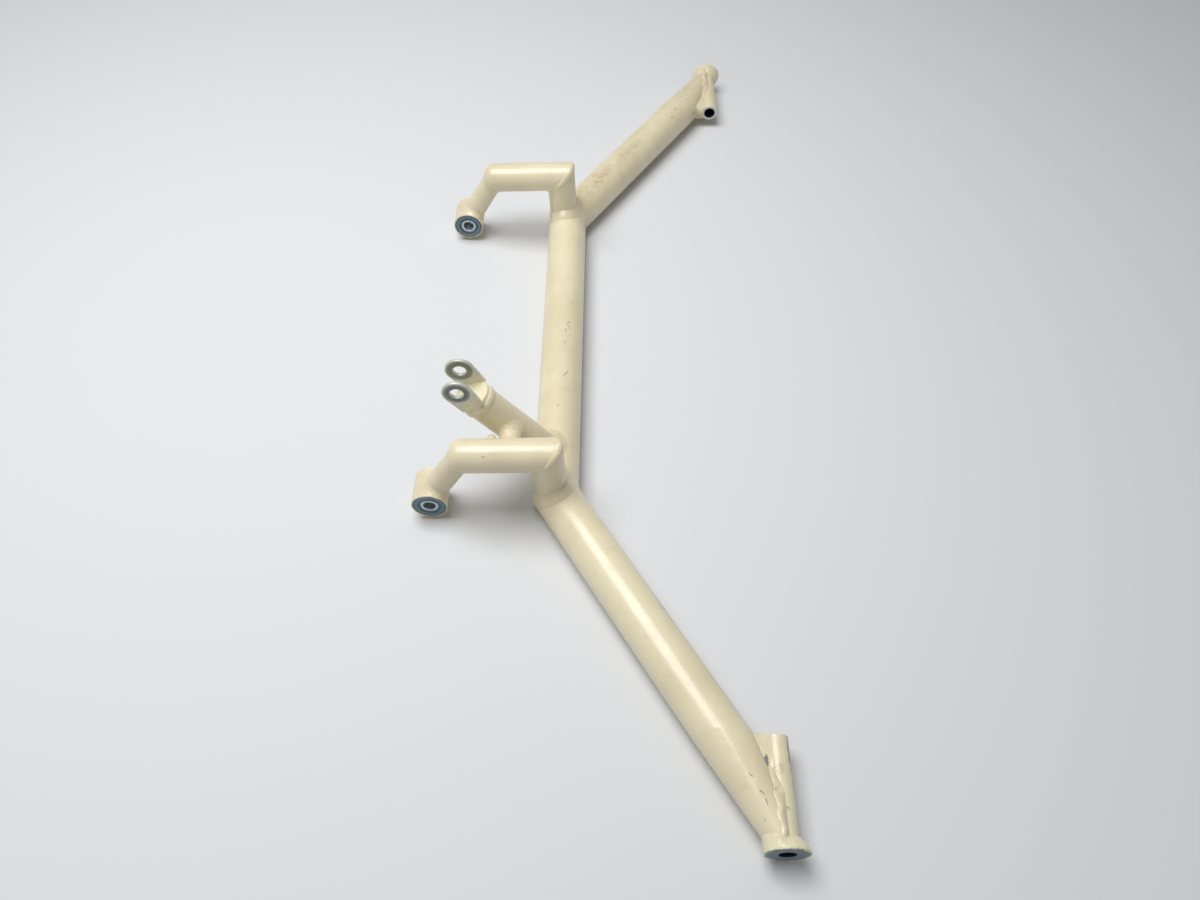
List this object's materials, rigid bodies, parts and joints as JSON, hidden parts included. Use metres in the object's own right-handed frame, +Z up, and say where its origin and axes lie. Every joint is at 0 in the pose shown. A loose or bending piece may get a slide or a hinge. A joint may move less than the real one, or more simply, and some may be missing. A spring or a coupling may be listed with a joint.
{
  "type": "aircraft control column cross member",
  "caption": "Welded tubular steel cross member for dual control columns: cranked arms with ball bearing pivots, a push rod fork and pin sleeves at the swept ends.",
  "frame": {"origin": "middle of the underside of the whole part", "axes": "+Y to the right along the main tube, +X aft towards the swept arms' tips, +Z up towards the cranks"},
  "size_m": [0.2712, 0.8328, 0.1176],
  "materials": {
    "tube_enamel": "aged cream enamel, semi-gloss, scuffed",
    "weld_enamel": "cream enamel over rippled beads",
    "fork_steel": "bare, dull, oiled",
    "ring_steel": "ground",
    "shield_steel": "dull blue-grey",
    "ball_steel": "polished",
    "cage_steel": "pressed",
    "spacer_steel": "turned"
  },
  "bodies": {
    "cross_member": {"arm_mitre_welds": "weld_enamel", "brace_stub": "tube_enamel", "centre_tube": "tube_enamel", "crank_corner_welds": "weld_enamel", "disc_welds": "weld_enamel", "drop_top_welds": "weld_enamel", "fork_end": "fork_steel", "fork_weld": "weld_enamel", "housing_welds": "weld_enamel", "left_arm_tube": "tube_enamel", "left_bearing_housing": "tube_enamel", "left_crank_cross_tube": "tube_enamel", "left_crank_drop_tube": "tube_enamel", "left_crank_upright": "tube_enamel", "left_end_disc": "tube_enamel", "left_inboard_outer_ring": "ring_steel", "left_inboard_shields": "shield_steel", "left_outboard_outer_ring": "ring_steel", "left_outboard_shields": "shield_steel", "left_sleeve": "tube_enamel", "left_sleeve_gusset": "tube_enamel", "push_rod_arm": "tube_enamel", "right_arm_tube": "tube_enamel", "right_bearing_housing": "tube_enamel", "right_crank_cross_tube": "tube_enamel", "right_crank_drop_tube": "tube_enamel", "right_crank_upright": "tube_enamel", "right_end_disc": "tube_enamel", "right_inboard_outer_ring": "ring_steel", "right_inboard_shields": "shield_steel", "right_outboard_outer_ring": "ring_steel", "right_outboard_shields": "shield_steel", "right_sleeve": "tube_enamel", "right_sleeve_gusset": "tube_enamel", "rod_arm_root_weld": "weld_enamel", "sleeve_welds": "weld_enamel", "stub_welds": "weld_enamel", "upright_foot_welds": "weld_enamel"},
    "right_spindle": {"right_inboard_inner_ring": "ring_steel", "right_bearing_spacer": "spacer_steel", "right_outboard_inner_ring": "ring_steel"},
    "right_ball_sets": {"right_inboard_balls": "ball_steel", "right_inboard_cage": "cage_steel", "right_outboard_balls": "ball_steel", "right_outboard_cage": "cage_steel"},
    "left_spindle": {"left_inboard_inner_ring": "ring_steel", "left_bearing_spacer": "spacer_steel", "left_outboard_inner_ring": "ring_steel"},
    "left_ball_sets": {"left_inboard_balls": "ball_steel", "left_inboard_cage": "cage_steel", "left_outboard_balls": "ball_steel", "left_outboard_cage": "cage_steel"}
  },
  "joints": [
    {"name": "right_pivot", "type": "hinge", "parent": "cross_member", "child": "right_spindle", "pos_m": [-0.1221, 0.16, 0.01746], "axis": [0, 1, 0], "continuous": true},
    {"name": "right_ball_run", "type": "hinge", "parent": "cross_member", "child": "right_ball_sets", "pos_m": [-0.1221, 0.16, 0.01746], "axis": [0, 1, 0], "continuous": true},
    {"name": "left_pivot", "type": "hinge", "parent": "cross_member", "child": "left_spindle", "pos_m": [-0.1221, -0.16, 0.01746], "axis": [0, 1, 0], "continuous": true},
    {"name": "left_ball_run", "type": "hinge", "parent": "cross_member", "child": "left_ball_sets", "pos_m": [-0.1221, -0.16, 0.01746], "axis": [0, 1, 0], "continuous": true}
  ],
  "couplings": [
    {"joint": "right_ball_run", "follows": "right_pivot", "ratio": 0.376},
    {"joint": "left_ball_run", "follows": "left_pivot", "ratio": 0.376}
  ]
}
